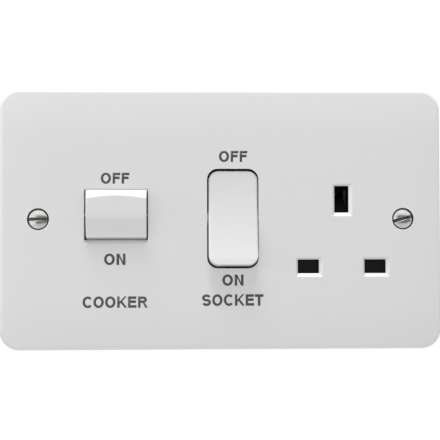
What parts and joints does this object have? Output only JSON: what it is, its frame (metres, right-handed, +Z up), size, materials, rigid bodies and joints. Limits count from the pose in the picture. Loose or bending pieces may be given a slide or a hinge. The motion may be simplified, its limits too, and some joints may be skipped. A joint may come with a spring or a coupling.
{
  "type": "cooker control unit",
  "caption": "White wall unit with a rocker switch for a cooker, a dished rocker switch and a shuttered three-pin socket outlet, with terminals in a base behind.",
  "frame": {"origin": "middle of the plate on the plane of the wall, halfway between the two fixing screws", "axes": "+X to the right seen from the front, +Y into the wall, +Z up"},
  "size_m": [0.146, 0.0331, 0.086],
  "materials": {
    "plate_white": "glossy white urea",
    "rocker_white": "glossy white",
    "base_grey": "dark grey moulding",
    "shutter_black": "black",
    "screw_steel": "bright nickel plate",
    "spring_steel": "drawn wire",
    "contact_silver": "silver",
    "plunger_nylon": "natural nylon",
    "brass": "pressed brass"
  },
  "bodies": {
    "unit": {"front_plate": "plate_white", "cooker_base": "base_grey", "switch_base": "base_grey", "outlet_base": "base_grey", "fixing_screws": "screw_steel", "base_screws": "screw_steel", "clamp_screws": "screw_steel", "cooker_supply_line": "brass", "cooker_supply_neutral": "brass", "cooker_load_line": "brass", "cooker_load_neutral": "brass", "line_link": "brass", "neutral_link": "brass", "fixed_tips": "contact_silver", "line_contact": "brass", "neutral_contact": "brass", "earth_contact": "brass", "earth_terminal": "brass", "shutter_spring": "spring_steel"},
    "cooker_rocker": {"cooker_rocker": "rocker_white", "cooker_spring_line": "spring_steel", "cooker_spring_neutral": "spring_steel"},
    "cooker_plunger_line": {"cooker_plunger_line": "plunger_nylon"},
    "cooker_arm_line": {"cooker_arm_line": "brass", "cooker_tip_line": "contact_silver"},
    "cooker_plunger_neutral": {"cooker_plunger_neutral": "plunger_nylon"},
    "cooker_arm_neutral": {"cooker_arm_neutral": "brass", "cooker_tip_neutral": "contact_silver"},
    "socket_rocker": {"socket_rocker": "rocker_white", "socket_spring_line": "spring_steel", "socket_spring_neutral": "spring_steel"},
    "socket_plunger_line": {"socket_plunger_line": "plunger_nylon"},
    "socket_arm_line": {"socket_arm_line": "brass", "socket_tip_line": "contact_silver"},
    "socket_plunger_neutral": {"socket_plunger_neutral": "plunger_nylon"},
    "socket_arm_neutral": {"socket_arm_neutral": "brass", "socket_tip_neutral": "contact_silver"},
    "shutter": {"shutter": "shutter_black"}
  },
  "joints": [
    {"name": "cooker_rocker_hinge", "type": "hinge", "parent": "unit", "child": "cooker_rocker", "pos_m": [-0.0349, -0.006, 0.0015], "axis": [1, 0, 0], "range_deg": [-27, 0]},
    {"name": "cooker_plunger_line_slide", "type": "slide", "parent": "cooker_rocker", "child": "cooker_plunger_line", "axis": [0, -0.9724, -0.2334], "range_m": [0, 0.0012], "stiffness_N_per_m": 100, "springref_m": -0.002, "deforming": ["cooker_spring_line"]},
    {"name": "cooker_arm_line_hinge", "type": "hinge", "parent": "unit", "child": "cooker_arm_line", "pos_m": [-0.0289, 0.0085, 0.0015], "axis": [1, 0, 0], "range_deg": [0, 23.4]},
    {"name": "cooker_plunger_neutral_slide", "type": "slide", "parent": "cooker_rocker", "child": "cooker_plunger_neutral", "axis": [0, -0.9724, -0.2334], "range_m": [0, 0.0012], "stiffness_N_per_m": 100, "springref_m": -0.002, "deforming": ["cooker_spring_neutral"]},
    {"name": "cooker_arm_neutral_hinge", "type": "hinge", "parent": "unit", "child": "cooker_arm_neutral", "pos_m": [-0.0409, 0.0085, 0.0015], "axis": [1, 0, 0], "range_deg": [0, 23.4]},
    {"name": "socket_rocker_hinge", "type": "hinge", "parent": "unit", "child": "socket_rocker", "pos_m": [0.00375, -0.006, 0.00015], "axis": [1, 0, 0], "range_deg": [0, 13]},
    {"name": "socket_plunger_line_slide", "type": "slide", "parent": "socket_rocker", "child": "socket_plunger_line", "axis": [0, -0.9936, 0.1132], "range_m": [0, 0.0012], "stiffness_N_per_m": 100, "springref_m": -0.002, "deforming": ["socket_spring_line"]},
    {"name": "socket_arm_line_hinge", "type": "hinge", "parent": "unit", "child": "socket_arm_line", "pos_m": [-0.00025, 0.0085, 0.00015], "axis": [1, 0, 0], "range_deg": [-23.4, 0]},
    {"name": "socket_plunger_neutral_slide", "type": "slide", "parent": "socket_rocker", "child": "socket_plunger_neutral", "axis": [0, -0.9936, 0.1132], "range_m": [0, 0.0012], "stiffness_N_per_m": 100, "springref_m": -0.002, "deforming": ["socket_spring_neutral"]},
    {"name": "socket_arm_neutral_hinge", "type": "hinge", "parent": "unit", "child": "socket_arm_neutral", "pos_m": [0.00775, 0.0085, 0.00015], "axis": [1, 0, 0], "range_deg": [-23.4, 0]},
    {"name": "shutter_slide", "type": "slide", "parent": "unit", "child": "shutter", "axis": [0, 0, -1], "range_m": [0, 0.0057], "stiffness_N_per_m": 50, "springref_m": -0.004, "deforming": ["shutter_spring"]}
  ],
  "couplings": [
    {"joint": "cooker_arm_line_hinge", "follows": "cooker_rocker_hinge", "ratio": -0.86667},
    {"joint": "cooker_arm_neutral_hinge", "follows": "cooker_rocker_hinge", "ratio": -0.86667},
    {"joint": "socket_arm_line_hinge", "follows": "socket_rocker_hinge", "ratio": -1.8},
    {"joint": "socket_arm_neutral_hinge", "follows": "socket_rocker_hinge", "ratio": -1.8}
  ]
}
